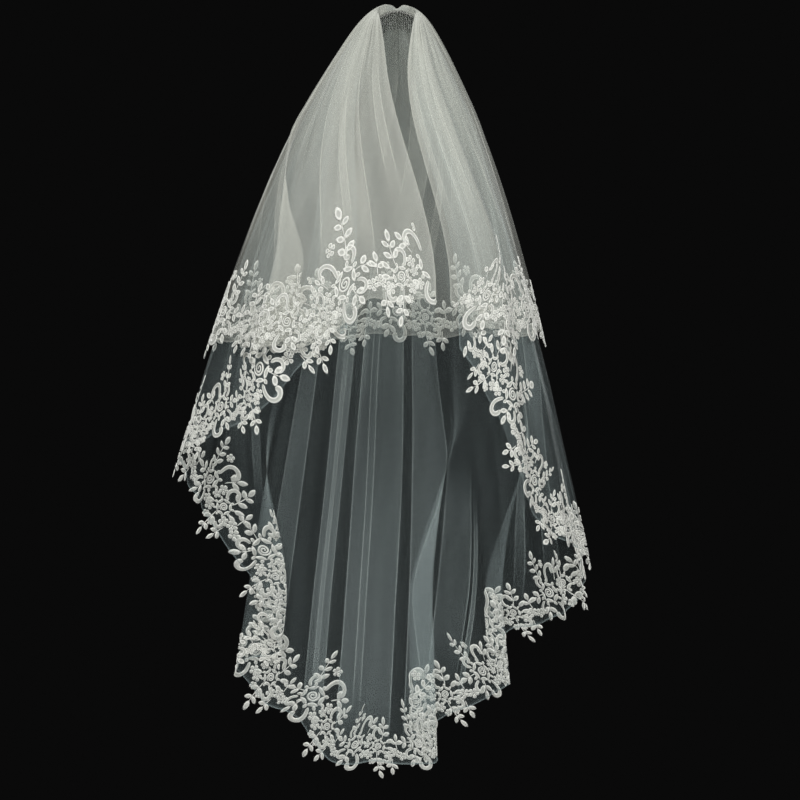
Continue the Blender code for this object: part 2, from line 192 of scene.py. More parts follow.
# ---- lace, in millimetres
# x runs along the hem from the middle of the rose, y up from the hem's line.
ROSES = (  # (x, y, radius)
    (0, 46, 17), (52, 34, 12),
)
SCROLLS = (  # (x, y, heading, length, first bend, last bend, first and last width)
    (8, 64, 88, 62, 0.006, -0.160, 5.4, 9), (8, 26, -62, 54, 0.004, -0.176, 5.4, 9),
    (-15, 59, 150, 44, -0.030, -0.250, 5, 7.4), (45, 46, 122, 40, -0.010, -0.210, 4.8, 7.2),
    (64, 26, -34, 36, 0.000, -0.230, 4.8, 7.2), (-18, 34, -166, 36, 0.030, 0.230, 4.8, 7.2),
)
SPRAYS = (  # (x, y, heading, length, bend, pairs of leaflets, leaflet length)
    (-9, 65, 112, 60, -0.006, 3, 15.5), (26, 61, 62, 30, -0.012, 1, 14.5),
    (-17, 47, 176, 26, 0.010, 1, 14), (-8, 33, -104, 30, -0.010, 1, 14.5),
    (49, 23, -88, 46, 0.008, 2, 13.5), (63, 41, 28, 14, 0, 0, 14), (64, 33, -4, 13, 0, 0, 13),
    (58, 46, 72, 40, 0.012, 2, 14.5), (38, 30, -150, 12, 0, 0, 13),
    (-47, 32, 100, 25, -0.010, 1, 12.5), (-56, 14, -98, 26, 0.008, 1, 12.5),
)
BLOSSOMS = (  # (x, y, radius)
    (4, 100, 8), (-38, 20, 8.5), (-51, 26, 8.5), (-64, 19, 8.5), (32, 52, 8), (34, 18, 8),
    (23, 22, 8), (29, 39, 7), (41, 5, 6), (57, 3, 6),
)
LEAFLET_SHAPE = 0.29  # half width of a leaflet as a share of its length
LEAFLET_SEAT, TIP_LEAFLET = 0.56, 0.58  # its middle from the stem, and half length of the last one
LEAFLET_ANGLE = 52.0
LEAFLET_TAPER = 0.10  # how much smaller each pair is than the one before
LEAFLET_STEPS = 40  # points of the stem between which the leaflets are placed
STEM_WIDTH = 1.6
ROSE_PETALS, BLOSSOM_PETALS = 6, 5
ROSE_LEAVES = 9
# Rings of pads: the ring, half length and half width, as shares of the flower's radius
PETAL_SHARES, ROSE_LEAF_SHARES = (0.87, 0.20, 0.50), (1.24, 0.24, 0.17)
BLOSSOM_SHARES, BEAD_SHARE = (0.62, 0.42, 0.38), 0.22
CORD_HEIGHT = 1.3
PAD_MIDDLE = 0.25  # height of a pad's middle as a share of the cord's
LACE_BASE = 0.30  # from the middle of the net to the underside of the lace
# Rings of a pad from its middle to its edge: (share of the outline, height share)
LARGE_RINGS = ((0.38, 0.20), (0.56, 0.45), (0.78, 1.0), (1.0, 0.12))
SMALL_RINGS = ((0.50, 0.35), (0.78, 1.0), (1.0, 0.12))
LARGE_SIDES, SMALL_SIDES = 12, 9
BAND_STEPS = 20
HEART_STEPS = 40
HEART_TURNS = 2.2
HEART_REACH = (0.06, 0.58)  # the wound band's radius at its two ends, as shares of the rose
HEART_WIDTH = 0.18  # the band's own width, as a share of the rose's radius
STEM_STEPS = 7
END_POWER, LEAST_END = 12, 0.04  # how round a band's ends are, and how wide at the very end
# Section of a band: (place across, height share, rim), with its last point underneath
BAND_SECTION = (
    (-1, 0.12, 1), (-0.74, 1, 0.8), (-0.3, 0.42, 0.3), (0.3, 0.42, 0.3), (0.74, 1, 0.8),
    (1, 0.12, 1), (0, 0, 0),
)
STEM_SECTION = ((-1.0, 0.1, 1.0), (0.0, 0.9, 1.0), (1.0, 0.1, 1.0))
# Along the hem, in metres again
SLOPE_SMOOTHING = 0.045  # length of hem over which the lace's heading is averaged
END_MARGIN = 0.006  # lace closer than this to a tier's front edge is left out
CORNER_GROWTH, CORNER_PLACE, CORNER_SPREAD = 0.32, 0.08, 0.09  # taller lace near a front edge
WAVE_GROWTH, WAVE_LENGTH = 0.08, 0.47  # the lace's height also comes and goes

# ---- comb
SPINE_RADII = (0.0009, 0.0015)
TOOTH_COUNT = 20
TOOTH_LENGTH = 0.031
TOOTH_TILT = 35.0
TOOTH_ROOT, TOOTH_TIP = 0.00076, 0.00040
TOOTH_START, TOOTH_LAP = 0.0006, 0.0010  # first point under the spine, and what is left off
TOOTH_FLATNESS, TOOTH_END_POWER = 0.95, 24
TOOTH_ROWS, TOOTH_SIDES = 10, 8
SPINE_ROWS, SPINE_SIDES = 41, 10
# Share of the comb's half width that the spine takes, where its ends close, how square they are
SPINE_REACH, SPINE_END, SPINE_END_POWER = 0.985, 0.99, 60
STITCH_COUNT = 26
STITCH_RADII = (0.0017, 0.0024)
STITCH_REACH = 0.96  # share of the comb's half width
STITCH_LIFT, STITCH_LEAN = 0.0009, 0.0005
STITCH_ROWS, THREAD_SIDES = 14, 5
THREAD_RADIUS = 0.00022

# ---- shading
EDGE_FADE = 700.0  # how fast a cut edge's extra cover fades, per metre
UPPER_WARMTH, LOWER_WARMTH = 0.95, 0.0  # share of the gathered colour in one face of net
NET_CONTRAST = 0.12  # how much the net's threads stand out in its cover
NET_BOUNCES = 96  # faces of net that light passes in turn
CORD_TWIST, FILLING_TWIST = 9000.0, 5200.0  # radians a metre

# ---- stage
CAMERA_PLACE = (0.005, -3.3, -0.64)
CAMERA_LENS = 90.0
CAMERA_CLIP = (0.05, 50.0)
FLOOR_HEIGHT = -1.75
FLOOR_RADIUS, FLOOR_SIDES = 1.1, 96


def smooth_step(value):
    """Rise from 0 to 1 with level ends: 3 v^2 - 2 v^3."""
    held = np.clip(value, 0.0, 1.0)
    return held * held * (3.0 - 2.0 * held)


def between(value, first, last, blend):
    """1 between two values and 0 outside them, with soft ends of a given length."""
    start = smooth_step((value - first) / blend)
    return start * (1.0 - smooth_step((value - last + blend) / blend))


def averaged(values, samples):
    """Each value averaged with its neighbours under a bell curve, with the ends held."""
    reach = max(1, int(3 * samples))
    bell = np.exp(-0.5 * (np.arange(-reach, reach + 1) / samples) ** 2)
    return np.convolve(np.pad(values, reach, mode="edge"), bell / bell.sum(), mode="valid")


# ==== the cloth's surface
def half_width(angle, drop):
    """Half of the worn width, W (d / D)^p on each side, drawn in by a bell at the neck."""
    right, left = (
        width * (drop / reached) ** power * (1.0 - neck * np.exp(-(drop / neck_drop) ** 2))
        for width, reached, power, neck, neck_drop in SIDE_WIDTHS)
    return np.where(angle < 0.0, right, left)


def half_depth(angle, drop):
    """Half of the worn depth: a power of the drop behind, and one that levels off in front."""
    back = BACK_DEPTH * (drop / BACK_DROP) ** BACK_POWER
    upper = FRONT_DEPTH * (drop / FRONT_DROP) ** FRONT_POWER
    below = np.maximum(drop - FRONT_DROP, 0.0)
    lower = FRONT_DEPTH + FRONT_GROWTH * (1.0 - np.exp(-below / FRONT_GROWTH_FADE))
    front = np.where(drop < FRONT_DROP, upper, lower)
    return np.where(np.abs(angle) > 90.0, front, back)


def flute(angle, drop):
    """Soft folds: a sum of cosines of the angle, whose depth grows with the drop."""
    total = 0.0
    for count, share, phase in FLUTES:
        total = total + share * np.cos(np.radians(count * angle + phase))
    return (FLUTE_AT_COMB + FLUTE_DEPTH * (1.0 - np.exp(-drop / FLUTE_FADE))) * total


def gathers(flat, drop, turn):
    """Fine gathers: cosines of the place on the comb that die out with the drop."""
    total = 0.0
    for count, depth, reach in GATHERS:
        wave = np.cos(np.radians(count * flat + turn * count)) - GATHER_SINK
        total = total + depth * wave * np.exp(-drop / reach)
    return total * (GATHER_FIRST + (1.0 - GATHER_FIRST) * smooth_step(drop / GATHER_START))


def creases(table, angle, drop):
    """Soft ridges down the cloth: bell curves across the angle, each with its own two ends."""
    total = 0.0
    for place, first, last, depth, width in table:
        across = np.exp(-((angle - place) / width) ** 2)
        run = between(drop, first / 1000, last / 1000, CREASE_END)
        total = total + depth * MM * across * run
    return total


def crumple(angle, drop):
    """Small unevenness: products of cosines of the angle and the drop that never line up."""
    total = 0.0
    for share, turns, slant, start, waves, phase in CRUMPLES:
        leaning = np.cos(np.radians(turns * angle) + slant * drop + start)
        total = total + share * leaning * np.cos(waves * drop + phase)
    return CRUMPLE_DEPTH * smooth_step(drop / CRUMPLE_REACH) * total


def crest_height(share):
    """Height of the gathered crown along the comb: an arch with a dip and a low lobe."""
    lobe = CREST_LOBE * np.exp(-((share - CREST_LOBE_PLACE) / CREST_LOBE_SPREAD) ** 2)
    dip = CREST_NOTCH * np.exp(-(share / CREST_NOTCH_SPREAD) ** 2)
    return CROWN_HEIGHT - COMB_RISE * share ** 2 + lobe - dip


def worn_point(angle, flat, drop, away, lift=0.0):
    """Point on an oval ring that widens with the drop, moved out along its normal and lifted."""
    turn = np.radians(angle)
    width = half_width(angle, drop)
    depth = half_depth(angle, drop)
    share = flat / EDGE_ANGLE
    normal_x = depth * np.sin(turn)
    normal_y = width * np.cos(turn)
    length = np.hypot(normal_x, normal_y)
    out = away + flute(angle, drop)
    swung = smooth_step((drop - PARTING_START) / PARTING_REACH)
    front = np.clip(-np.cos(turn), 0.0, 1.0) ** 2
    comb = 0.5 * COMB_WIDTH * share * np.exp(-drop / COMB_FADE)
    x = width * np.sin(turn) + comb + PARTING_SHIFT * swung * front
    y = depth * np.cos(turn)
    z = CREST - drop + (crest_height(share) - CREST) * np.exp(-drop / CREST_FADE) + lift
    return np.stack([x + out * normal_x / length, y + out * normal_y / length, z], axis=-1)


def comb_arch(share):
    """Point of the comb's middle line: an arch that falls with the square of the share."""
    return np.stack([0.5 * COMB_WIDTH * share, 0.0 * share, -COMB_RISE * share ** 2], axis=-1)


class Tier:
    """A tier of the veil: where any length along its hem and any drop lie in space."""

    def __init__(self, stations, pleats, side, narrow, crease_table, laps, line, gather_turn):
        self.pleats, self.side, self.narrow = pleats, side, narrow
        self.crease_table, self.line = crease_table, line
        self.laps = np.array(laps) / (1000, 1000, 1000, 1000, 1)
        self.gather_turn = gather_turn
        self.lay_columns(stations)

    def lay_columns(self, stations):
        """Columns a few millimetres apart between the stations, with their turns rounded."""
        table = np.array(stations) / (1, 1, 1000)
        parts = [table[:1]]
        for start, end in zip(table[:-1], table[1:]):
            ends = np.stack([start, end])
            points = worn_point(ends[:, 0], ends[:, 0], ends[:, 2], ends[:, 1] * MM)
            count = max(1, round(float(np.linalg.norm(points[1] - points[0])) / HEM_PITCH))
            parts.append(start + (end - start) * np.arange(1, count + 1)[:, None] / count)
        samples = HEM_ROUNDING / HEM_PITCH
        angle, offset, hem = (averaged(row, samples) for row in np.concatenate(parts).T)
        self.angle, self.offset, self.hem = angle, offset * MM, hem
        steps = np.diff(worn_point(angle, angle, hem, self.offset), axis=0)
        self.length = np.concatenate([[0.0], np.cumsum(np.linalg.norm(steps, axis=1))])
        for depth, turns, start in HEM_WAVES:
            self.hem = self.hem + depth * np.cos(turns * self.length + start)
        run = np.cumsum(np.linalg.norm(steps[:, :2], axis=1))
        self.run = np.concatenate([[0.0], run])
        self.flat = angle[0] + (angle[-1] - angle[0]) * self.run / self.run[-1]
        smoothing = SLOPE_SMOOTHING / HEM_PITCH
        self.level = averaged(np.gradient(self.run) / np.gradient(self.length), smoothing)
        self.fall = averaged(np.gradient(hem) / np.gradient(self.length), smoothing)
        spread = (angle[-1] - angle[0]) / self.length[-1]
        self.shift = averaged(angle - self.flat, STRAIGHTENING / HEM_PITCH) / spread

    def at(self, name, length):
        """A column's value at any length along the hem."""
        return np.interp(length, self.length, getattr(self, name))

    def opened(self, drop):
        """How far the pleats have opened, from 0 at the comb to 1 low down."""
        return smooth_step((drop - self.pleats[0]) / (self.pleats[1] - self.pleats[0]))

    def straightened(self, length, drop):
        """Length along the hem to take at a drop, for folds that hang straight down.

        A straight fold turns evenly with the drop; the pleats open with an S. The length
        moves by their difference, so the folded edges don't bend with the pleats.
        """
        hem = self.at("hem", length)
        even = self.opened(hem) * drop / hem
        return length + self.at("shift", length) * (even - self.opened(drop))

    def place(self, length, drop):
        """Point of the cloth at a length along the hem and a drop below the crest."""
        flat = self.at("flat", length)
        opened = self.opened(drop)
        angle = flat + (self.at("angle", length) - flat) * opened
        out = self.at("offset", length) * opened
        out = out + self.side * TIER_SHIFT * (1.0 - np.exp(-drop / TIER_SHIFT_FADE))
        if self.narrow:
            reach = smooth_step((drop - NARROW_START) / NARROW_REACH)
            out = out + NARROW_DEPTH * reach * np.cos(np.radians(NARROW_COUNT * angle))
        out = out + creases(self.crease_table, angle, drop) + crumple(angle, drop)
        out = out + gathers(flat, drop, self.gather_turn)
        crown = self.side * CROWN_SHIFT * np.exp(-drop / CROWN_FADE)
        return worn_point(angle, flat, drop, out + crown, crown * np.exp(-drop / CROWN_LIFT_FADE))

    def outward(self, length, drop):
        """Unit normal of the cloth, away from the wearer, from a step each way."""
        step = NORMAL_STEP
        across = self.place(length + step, drop) - self.place(length - step, drop)
        down = self.place(length, drop + step) - self.place(length, drop - step)
        normal = np.cross(across, down)
        return normal / np.maximum(np.linalg.norm(normal, axis=-1, keepdims=True), 1e-12)

    def layers(self, length, drop):
        """Layers of net at a place: each lap adds some between its two folded edges.

        Both edges are a line about a millimetre wide, where the net is seen edge on. A lap
        fades in and out with the drop.
        """
        total = np.ones(np.broadcast(length, drop).shape)
        for first, last, top, foot, count in self.laps:
            run = between(drop, top, foot, LAP_END)
            ends = np.stack([length - first, last - length]) / FOLD_HALF
            inside = np.clip(0.5 + 0.5 * ends, 0.0, 1.0).prod(axis=0)
            line = np.clip(2.0 - np.abs(ends), 0.0, 1.0).sum(axis=0)
            total = total + run * ((count - 1.0) * inside + self.line * line)
        angle = self.at("angle", length)
        side = np.where(angle < 0.0, RIGHT_THINNING, LEFT_THINNING)
        flatter = 1.0 - side * np.abs(np.sin(np.radians(angle))) ** 3
        forward = -np.cos(np.radians(angle))
        # Painted shade: the cover is lowered behind the head near the crest, darkening the back
        # net that the front layers shade
        behind = np.clip(-forward, 0.0, 1.0) * np.exp(-drop / BACK_PAINTED_SHADE_FADE)
        front = np.clip(forward, 0.0, 1.0)
        return total * flatter * (1.0 - BACK_PAINTED_SHADE * behind) * (1.0 + FRONT_THICKENING * front)

    def lap_columns(self):
        """Lengths along the hem at which a grid needs columns to show the folded edges."""
        edges = self.laps[:, :2].ravel()
        return (edges[:, None] + FOLD_HALF * np.array([-2.0, -1.0, 1.0, 2.0])).ravel()

    def from_hem(self, along, up):
        """Length and drop of a point a distance along the hem and a height square to it.

        On a hem that falls at some slope, going up by h moves h times the fall along the
        level run and h times the level share up the cloth.
        """
        held = np.clip(along, 0.0, self.length[-1])
        over = along - held
        level, fall = self.at("level", held), self.at("fall", held)
        run = self.at("run", held) + over + up * fall
        drop = self.at("hem", held) - up * level
        return np.interp(run, self.run, self.length), drop


UPPER = Tier(UPPER_STATIONS, UPPER_PLEATS, 1.0, False, UPPER_CREASES, UPPER_LAPS, UPPER_LINE, 0.0)
LOWER = Tier(LOWER_STATIONS, LOWER_PLEATS, -1.0, True, LOWER_CREASES, LOWER_LAPS, LOWER_LINE, 0.37)
TIERS = {"upper": UPPER, "lower": LOWER}


# ==== meshes
def new_piece(name, points, faces, material, smooth_angle=None):
    """Mesh object at the origin, riding on the veil's one body, with smooth faces."""
    mesh = bpy.data.meshes.new(name)
    mesh.from_pydata(points.reshape(-1, 3), [], faces)
    mesh.validate()
    mesh.update()
    mesh.materials.append(material)
    mesh.shade_smooth()
    if smooth_angle is not None:
        mesh.set_sharp_from_angle(angle=math.radians(smooth_angle))
    piece = bpy.data.objects.new(name, mesh)
    bpy.context.scene.collection.objects.link(piece)
    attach(piece, BODY)
    return piece


def add_flat_map(mesh, values):
    """UV map of each vertex's place on the flat cloth, a pair of lengths."""
    corners = np.empty(len(mesh.loops), dtype=np.int32)
    mesh.loops.foreach_get("vertex_index", corners)
    layer = mesh.uv_layers.new(name=FLAT_MAP)
    layer.data.foreach_set("uv", values[corners].astype(np.float32).ravel())


def add_value(mesh, name, values):
    """One number for each vertex, which a material reads by name."""
    attribute = mesh.attributes.new(name, "FLOAT", "POINT")
    attribute.data.foreach_set("value", values.astype(np.float32).ravel())


def grid_faces(rows, columns):
    """Quads of a grid of points, with the outer side where across x down points."""
    start = (np.arange(rows - 1)[:, None] * columns + np.arange(columns - 1)).ravel()
    return np.stack([start, start + 1, start + columns + 1, start + columns], axis=1)


def make_sheet(name, tier, columns, rows, settings, material):
    """Net of one tier: a grid over the hem's length and the drop, made a thin closed wall.

    The rows rise from the sewn edge to the crest, then fall to the hem as FIRST + (hem -
    FIRST) t^p. The columns wander a little sideways between comb and hem. Each vertex holds
    its place on the flat cloth, how closely the cloth is gathered or lapped there, and its
    distance from the nearest cut edge.
    """
    length = np.linspace(0.0, tier.length[-1], columns)
    length = np.sort(np.concatenate([length, tier.lap_columns()]))
    columns = len(length)
    hem = tier.at("hem", length) - HEM_TRIM
    share = np.linspace(0.0, 1.0, rows)[:, None] ** ROW_POWER
    drop = FIRST_DROP + (hem - FIRST_DROP) * share
    fixed = np.sin(math.pi * length / length[-1]) * np.sin(math.pi * share)
    wander = 0.0
    for part, turns, down, start in WANDERS:
        wander = wander + part * np.cos(turns * length + down * share + start)
    lengths = tier.straightened(length, drop) + COLUMN_DRIFT * fixed * wander
    lengths = np.maximum.accumulate(lengths, axis=1)
    points = tier.place(lengths, drop)
    sewn = comb_arch(tier.at("flat", length) / EDGE_ANGLE) + SEWN_HEIGHT * UP
    rise = np.linspace(0.0, 1.0, RISE_ROWS + 1)[:-1, None, None]
    way = tier.side * tier.outward(length, drop[0] + BULGE_DROP)
    bulge = np.sin(math.pi * rise) * RISE_BULGE * way
    points = np.concatenate([sewn + (points[0] - sewn) * rise + bulge, points])
    lengths = np.concatenate([np.repeat(lengths[:1], RISE_ROWS, axis=0), lengths])
    step = np.linalg.norm(np.diff(points, axis=1), axis=2)
    fullness = np.diff(lengths, axis=1) / np.maximum(step, 1e-7)
    fullness = np.concatenate([fullness, fullness[:, -1:]], axis=1)
    fullness = np.clip(fullness, 1.0, settings.most_fullness)
    drop = np.concatenate([np.zeros((RISE_ROWS, columns)), drop])
    fullness = fullness * tier.layers(length, drop)
    edge = np.minimum(np.minimum(length, length[-1] - length), hem - drop)
    piece = new_piece(name, points, grid_faces(*points.shape[:2]), material)
    add_flat_map(piece.data, np.stack([lengths, -drop], axis=-1).reshape(-1, 2))
    add_value(piece.data, "fullness", fullness)
    add_value(piece.data, "edge", edge)
    wall = piece.modifiers.new("thin wall", "SOLIDIFY")
    wall.thickness = SHEET_THICKNESS
    wall.offset = 0.0
    return piece


# ---- lace: pads and bands
def leaf_outline(turn):
    """Pointed at both ends: (cos t, sin t |sin t|^0.45)."""
    return np.cos(turn), np.sin(turn) * np.abs(np.sin(turn)) ** 0.45


def petal_outline(turn):
    """Rounded, wider towards its tip: (cos t, sin t (1 + 0.35 cos t))."""
    return np.cos(turn), np.sin(turn) * (1.0 + 0.35 * np.cos(turn))


def tube_faces(rows, sides, ring=False, turned=False):
    """Faces of a tube of points in rows: closed at both ends, or joined into a ring.

    turned makes them face outward where each row runs the other way round.
    """
    faces = []
    for row in range(rows if ring else rows - 1):
        step = sides if row < rows - 1 else -row * sides
        for k in range(sides):
            a, b = row * sides + k, row * sides + (k + 1) % sides
            faces.append((a, a + step, b + step, b) if turned else (a, b, b + step, a + step))
    if not ring:
        way = -1 if turned else 1
        last = (rows - 1) * sides
        faces += [tuple(range(sides))[::-way], tuple(range(last, last + sides))[::way]]
    return faces


def pad_shapes(pads, outline, rings, sides):
    """Pads as points: rings scaled from one outline, with a middle point over and under.

    pads has a row (x, y, half length, half width, heading in degrees) for each pad. Returns
    the points as (pad, point, x y h), the rim share of each point and the faces of one pad.
    """
    along, across = outline(2.0 * math.pi * np.arange(sides) / sides)
    share, height = np.array(rings).T
    middle_x, middle_y, half_length, half_width, heading = pads.T[:, :, None]
    x = half_length * np.concatenate([[0.0], np.outer(share, along).ravel(), [0.0]])
    y = half_width * np.concatenate([[0.0], np.outer(share, across).ravel(), [0.0]])
    rim = np.concatenate([[0.0], np.repeat(share, sides), [0.0]])
    lift = np.concatenate([[PAD_MIDDLE], np.repeat(height, sides), [0.0]])
    heading = np.radians(heading)
    points = np.stack([
        middle_x + x * np.cos(heading) - y * np.sin(heading),
        middle_y + x * np.sin(heading) + y * np.cos(heading),
        np.broadcast_to(CORD_HEIGHT * lift, x.shape),
    ], axis=-1)
    around = [(k, (k + 1) % sides) for k in range(sides)]
    under = 1 + len(rings) * sides
    last = under - sides
    faces = [(0, 1 + a, 1 + b) for a, b in around]
    for inner in range(1, last, sides):
        outer = inner + sides
        faces += [(inner + a, outer + a, outer + b, inner + b) for a, b in around]
    faces += [(last + a, under, last + b) for a, b in around]
    return points, np.broadcast_to(rim, x.shape), faces


def band_lines(bands, steps):
    """Middle lines whose bend runs evenly from a first value to a last one, and headings.

    Heading = h + k0 s + (k1 - k0) s^2 / 2 L, and the line is the running sum of its steps.
    """
    share = np.linspace(0.0, 1.0, steps)
    x, y, first, length, bend, last_bend = bands.T[:6, :, None]
    along = length * share
    heading = np.radians(first) + bend * along + 0.5 * (last_bend - bend) * along * share
    middle = 0.5 * (heading[:, 1:] + heading[:, :-1])
    step = length / (steps - 1)
    x = np.cumsum(np.concatenate([x, step * np.cos(middle)], axis=1), axis=1)
    y = np.cumsum(np.concatenate([y, step * np.sin(middle)], axis=1), axis=1)
    return x, y, heading, share


def swept_shapes(x, y, heading, half_width, section, height):
    """Bands as points: a section carried along each middle line and closed at both ends."""
    across, lift, rim = np.array(section).T
    steps = x.shape[1]
    share = np.linspace(0.0, 1.0, steps)
    rounding = np.sqrt(np.clip(1.0 - np.abs(2.0 * share - 1.0) ** END_POWER, LEAST_END, 1.0))
    side = (half_width * rounding)[..., None] * across
    points = np.stack([
        x[..., None] - side * np.sin(heading)[..., None],
        y[..., None] + side * np.cos(heading)[..., None],
        np.broadcast_to(height * lift, side.shape),
    ], axis=-1)
    shape = (len(x), steps * len(section))
    faces = tube_faces(steps, len(section), turned=True)
    return points.reshape(*shape, 3), np.broadcast_to(rim, side.shape).reshape(shape), faces


def band_shapes(bands, section, steps, height):
    """Bands from rows (x, y, heading, length, first bend, last bend, first and last width)."""
    x, y, heading, share = band_lines(bands, steps)
    first, last = bands.T[6:, :, None]
    half_width = 0.5 * (first + (last - first) * share)
    return swept_shapes(x, y, heading, half_width, section, height)


def heart_shapes(roses, steps):
    """Rose hearts: bands wound round the middle, with the radius growing evenly, r = a + b t."""
    share = np.linspace(0.0, 1.0, steps)
    middle_x, middle_y, size = roses.T[:, :, None]
    first, last = HEART_REACH
    reach = size * (first + (last - first) * share)
    turn = 2.0 * math.pi * HEART_TURNS * share + 0.07 * middle_x
    x = middle_x + reach * np.cos(turn)
    y = middle_y + reach * np.sin(turn)
    heading = np.arctan2(np.gradient(y, axis=1), np.gradient(x, axis=1))
    half_width = 0.5 * HEART_WIDTH * size * (0.85 + 0.3 * share)
    return swept_shapes(x, y, heading, half_width, STEM_SECTION, CORD_HEIGHT)


def ring_pads(flower, count, first, shares):
    """Pads in a ring. Shares of the radius: of the ring, half length and half width."""
    x, y, radius = flower
    ring, half_length, half_width = (share * radius for share in shares)
    rows = []
    for turn in np.arange(count) * 360.0 / count + first:
        way = math.radians(turn)
        place = x + ring * math.cos(way), y + ring * math.sin(way)
        rows.append((*place, half_length, half_width, turn))
    return rows


def blossom_pads(blossom):
    """Blossom: five rounded petals round a bead. Rows for pad_shapes."""
    x, y, radius = blossom
    bead = (x, y, BEAD_SHARE * radius, BEAD_SHARE * radius, 0.0)
    return [bead, *ring_pads(blossom, BLOSSOM_PETALS, 18.0 + 7.0 * x, BLOSSOM_SHARES)]


def leaf_row(x, y, turn, reach, half_length, size):
    """Leaf whose middle lies a reach from a point, along a turn. A row for pad_shapes."""
    place = x + reach * math.cos(turn), y + reach * math.sin(turn)
    return (*place, half_length, LEAFLET_SHAPE * size, math.degrees(turn))


def spray_rows(spray):
    """Spray: a bent stem with leaflets in pairs and one at its tip. Leaf rows and stem row."""
    x, y, heading, length, bend, pairs, leaf = spray
    stem = (x, y, heading, length - 0.6 * leaf, bend, bend, STEM_WIDTH, 0.8 * STEM_WIDTH)
    *line, share = band_lines(np.array([stem]), LEAFLET_STEPS)
    leaves = []
    for pair in range(pairs):
        at = (pair + 0.75) / (pairs + 0.35)
        stem_x, stem_y, course = (float(np.interp(at, share, values[0])) for values in line)
        size = leaf * (1.0 - LEAFLET_TAPER * pair)
        for side in (-LEAFLET_ANGLE, LEAFLET_ANGLE):
            turn = course + math.radians(side)
            leaves.append(leaf_row(stem_x, stem_y, turn, LEAFLET_SEAT * size, 0.5 * size, size))
    tip_x, tip_y, course = (values[0, -1] for values in line)
    leaves.append(leaf_row(tip_x, tip_y, course, 0.5 * leaf, TIP_LEAFLET * leaf, leaf))
    return leaves, stem


def rose_and_scroll_shapes():
    """Roses, each a ring of petals and one of leaves round a wound heart, and scrolls."""
    petals, leaves = [], []
    for rose in ROSES:
        petals += ring_pads(rose, ROSE_PETALS, 4.0 * rose[2], PETAL_SHARES)
        leaves += ring_pads(rose, ROSE_LEAVES, 20.0 + rose[2], ROSE_LEAF_SHARES)
    return [
        pad_shapes(np.array(leaves), leaf_outline, LARGE_RINGS, LARGE_SIDES),
        pad_shapes(np.array(petals), petal_outline, LARGE_RINGS, LARGE_SIDES),
        heart_shapes(np.array(ROSES), HEART_STEPS),
        band_shapes(np.array(SCROLLS), BAND_SECTION, BAND_STEPS, CORD_HEIGHT),
    ]


def spray_shapes():
    """Leaf sprays of one repeat."""
    sprays = [spray_rows(spray) for spray in SPRAYS]
    leaves = np.array([leaf for rows, _ in sprays for leaf in rows])
    stems = np.array([stem for _, stem in sprays])
    return [
        pad_shapes(leaves, leaf_outline, LARGE_RINGS, LARGE_SIDES),
        band_shapes(stems, STEM_SECTION, STEM_STEPS, 0.8 * CORD_HEIGHT),
    ]


def blossom_shapes():
    """Blossoms of one repeat."""
    pads = np.array([row for blossom in BLOSSOMS for row in blossom_pads(blossom)])
    return [pad_shapes(pads, petal_outline, SMALL_RINGS, SMALL_SIDES)]


LACE_KINDS = {"roses": rose_and_scroll_shapes, "sprays": spray_shapes, "blossoms": blossom_shapes}


def lace_growth(along, last):
    """Height of the lace as a share: bells near both front edges and a slow wave between."""
    inside = np.minimum(along, last - along)
    corner = CORNER_GROWTH * np.exp(-((inside - CORNER_PLACE) / CORNER_SPREAD) ** 2)
    return 1.0 + corner + WAVE_GROWTH * np.sin(2.0 * math.pi * along / WAVE_LENGTH)


def make_lace(name, tier, shapes, settings, material):
    """Lace piece: one repeat's shapes copied along the hem and laid on the net.

    A shape's x goes along the hem, its y square to the hem and its h out along the net's
    normal, so point = net(length, drop) + (base + h) normal.
    """
    last = tier.length[-1]
    repeats = np.arange(-1, int(last / settings.lace_repeat) + 2) * settings.lace_repeat
    all_points, all_rims, all_faces, all_maps = [], [], [], []
    total = 0
    for points, rim, faces in shapes:
        flat = points[None] * MM
        along = repeats[:, None, None] + flat[..., 0]
        middle = along.mean(axis=2)
        up = flat[..., 1] * lace_growth(middle[..., None], last)
        lift = np.broadcast_to(flat[..., 2], along.shape)
        kept = (middle > END_MARGIN) & (middle < last - END_MARGIN)
        along, up, lift = along[kept], up[kept], lift[kept]
        length, drop = tier.from_hem(along, up)
        spot = tier.place(length, drop)
        spot = spot + (LACE_BASE * MM + lift)[..., None] * tier.outward(length, drop)
        count = spot.shape[1]
        starts = total + count * np.arange(len(spot))
        for corners in {len(face) for face in faces}:
            group = np.array([face for face in faces if len(face) == corners])
            all_faces += (starts[:, None, None] + group).reshape(-1, corners).tolist()
        total += spot.shape[0] * count
        all_points.append(spot.reshape(-1, 3))
        all_rims.append(np.broadcast_to(rim, (len(repeats), *rim.shape))[kept].ravel())
        all_maps.append(np.stack([along, up], axis=-1).reshape(-1, 2))
    piece = new_piece(name, np.concatenate(all_points), all_faces, material)
    add_value(piece.data, "rim", np.concatenate(all_rims))
    add_flat_map(piece.data, np.concatenate(all_maps))
    return piece


# ---- comb
def tube(line, side_way, face_way, side_radius, face_radius, sides, ring=False):
    """Tube with its faces: an ellipse carried along a line.

    Point = line + side radius cos t side way + face radius sin t face way.
    """
    turn = 2.0 * math.pi * np.arange(sides) / sides
    around = np.cos(turn)[:, None] * side_way[:, None] * side_radius[:, None, None]
    around = around + np.sin(turn)[:, None] * face_way[:, None] * face_radius[:, None, None]
    return (line[:, None] + around).reshape(-1, 3), tube_faces(len(line), sides, ring)


def joined(tubes):
    """Points and faces of several tubes as one mesh."""
    points, faces, total = [], [], 0
    for part, part_faces in tubes:
        points.append(part)
        faces += [tuple(total + corner for corner in face) for face in part_faces]
        total += len(part)
    return np.concatenate(points), faces


